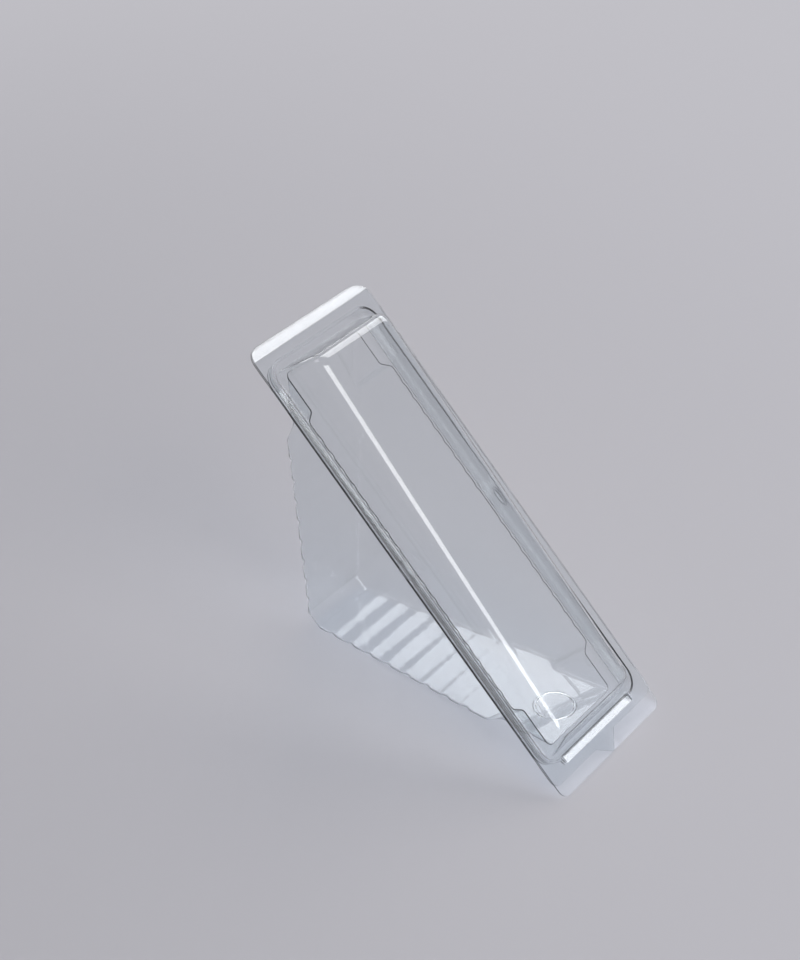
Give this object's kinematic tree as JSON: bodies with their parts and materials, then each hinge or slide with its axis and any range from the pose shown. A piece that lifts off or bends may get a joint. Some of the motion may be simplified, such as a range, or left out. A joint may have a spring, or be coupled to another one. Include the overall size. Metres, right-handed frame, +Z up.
{
  "type": "plastic food container",
  "caption": "Clear vacuum-formed wedge container for a diagonally cut sandwich: ribbed right-angled tub with a domed snap-fit lid on a living hinge and offset peel tabs.",
  "frame": {"origin": "under the middle of the container's box, on the surface that it stands on", "axes": "+Z up, +X across the container, +Y towards the hinge and the upright leg of the wedge, -Y towards the peel tabs"},
  "size_m": [0.0648, 0.1484, 0.1286],
  "materials": {
    "clear_pet": "clear glossy formed sheet"
  },
  "bodies": {
    "tub": {"tub": "clear_pet"},
    "lid": {"lid": "clear_pet"}
  },
  "joints": [
    {"name": "lid_hinge", "type": "hinge", "parent": "tub", "child": "lid", "pos_m": [0, 0.07397, 0.12697], "axis": [-1, 0, 0], "range_deg": [0, 180]}
  ]
}
